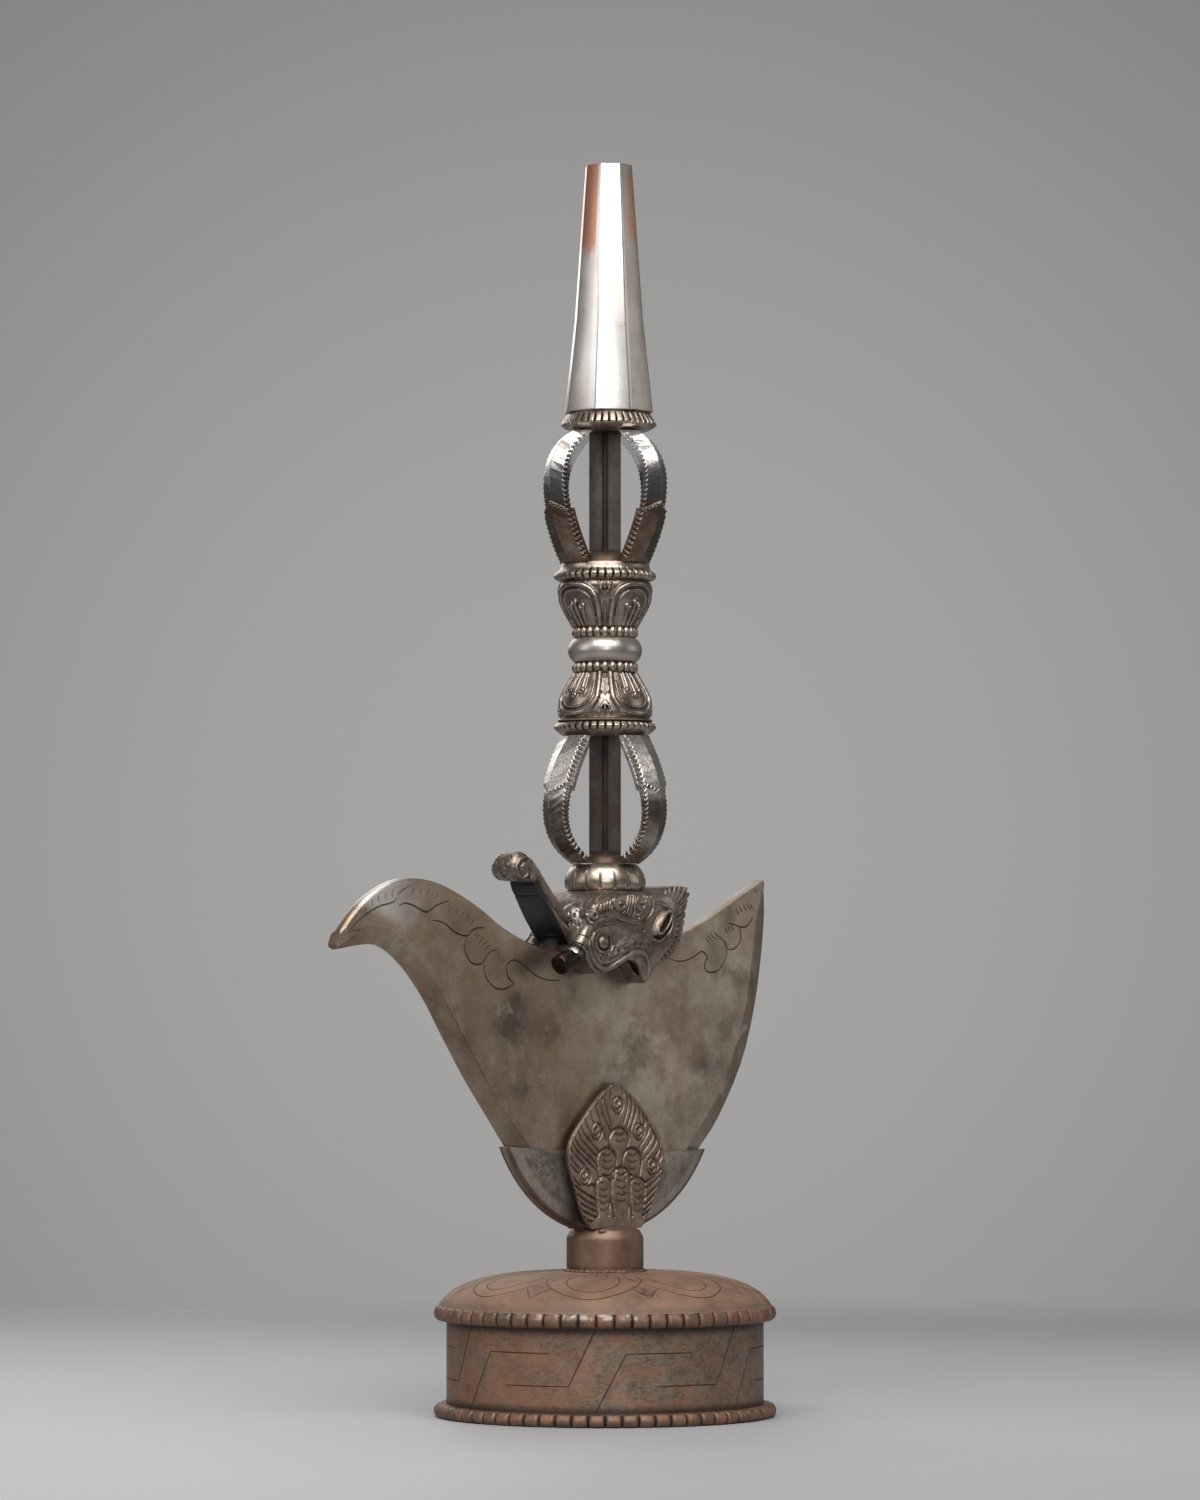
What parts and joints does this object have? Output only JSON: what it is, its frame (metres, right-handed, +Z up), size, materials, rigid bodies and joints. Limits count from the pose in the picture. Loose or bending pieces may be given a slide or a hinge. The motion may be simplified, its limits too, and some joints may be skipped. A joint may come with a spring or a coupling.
{
  "type": "ritual flaying knife in a stand",
  "caption": "Crescent ritual knife with a makara head and a thunderbolt handle, standing upright in the cradle of its own round drum stand.",
  "frame": {"origin": "centre of the stand's flat foot, on the surface that it stands on", "axes": "+Z up along the handle; the blade lies in the XZ plane with its hook towards -X; the front leaf of the stand faces -Y"},
  "size_m": [0.1429, 0.0816, 0.2994],
  "materials": {
    "foot_iron": "rusted forged iron with worn bright notches",
    "drum_iron": "iron sheet, grey with patches of orange rust",
    "rim_iron": "rusted forged iron with rubbed ridges",
    "dome_iron": "even red-brown rust with dark engraved lines",
    "stem_iron": "brown patina over ground iron",
    "screw_steel": "plain steel",
    "cradle_steel": "grey steel with dark freckles",
    "cradle_seam_brass": "brown brazing",
    "feather_iron": "warm grey chased iron with a rubbed edge",
    "blade_steel": "brown-grey steel with blue-black blotches",
    "head_iron": "chased iron, dark in its hollows and bright on its ridges",
    "trunk_iron": "chased iron with a dark ground underside",
    "tusk_iron": "polished iron with brown ends",
    "eye_iron": "dark polished iron",
    "tang_iron": "dark grey iron bar with a brown line",
    "ring_silvered": "silvered iron, bright on its teeth and brown between",
    "lotus_silvered": "silvered iron, dark in its hollows",
    "bulb_silvered": "silvered iron, smooth",
    "prong_silvered": "silvered iron, polished, with brown leaf sheaths",
    "spike_silvered": "polished silvered iron with copper-red patches at the top"
  },
  "bodies": {
    "stand": {"stand_foot_ring": "foot_iron", "stand_bottom_plate": "drum_iron", "stand_drum": "drum_iron", "stand_rim_ring": "rim_iron", "stand_dome": "dome_iron", "stem_collar": "stem_iron", "stem_screw": "screw_steel", "stem_washer": "screw_steel", "cradle_front_plate": "cradle_steel", "cradle_back_plate": "cradle_steel", "cradle_edge_strip": "cradle_seam_brass", "front_feather_leaf": "feather_iron", "back_feather_leaf": "feather_iron"},
    "knife": {"blade": "blade_steel", "makara_head": "head_iron", "makara_trunk": "trunk_iron", "makara_mane": "head_iron", "front_tusk": "tusk_iron", "back_tusk": "tusk_iron", "front_eye": "eye_iron", "back_eye": "eye_iron", "tang": "tang_iron", "fluted_collar": "ring_silvered", "lower_prong_1": "prong_silvered", "lower_prong_2": "prong_silvered", "lower_prong_3": "prong_silvered", "lower_prong_4": "prong_silvered", "lower_cage_ring": "ring_silvered", "lower_lotus": "lotus_silvered", "lower_bead_ring": "ring_silvered", "grip_bulb": "bulb_silvered", "upper_bead_ring": "ring_silvered", "upper_lotus": "lotus_silvered", "upper_cage_ring": "ring_silvered", "upper_prong_1": "prong_silvered", "upper_prong_2": "prong_silvered", "upper_prong_3": "prong_silvered", "upper_prong_4": "prong_silvered", "spike_ring": "ring_silvered", "spike": "spike_silvered"}
  },
  "joints": [
    {"name": "knife_lift", "type": "slide", "parent": "stand", "child": "knife", "axis": [0, 0, 1], "range_m": [0, 0.045]}
  ]
}
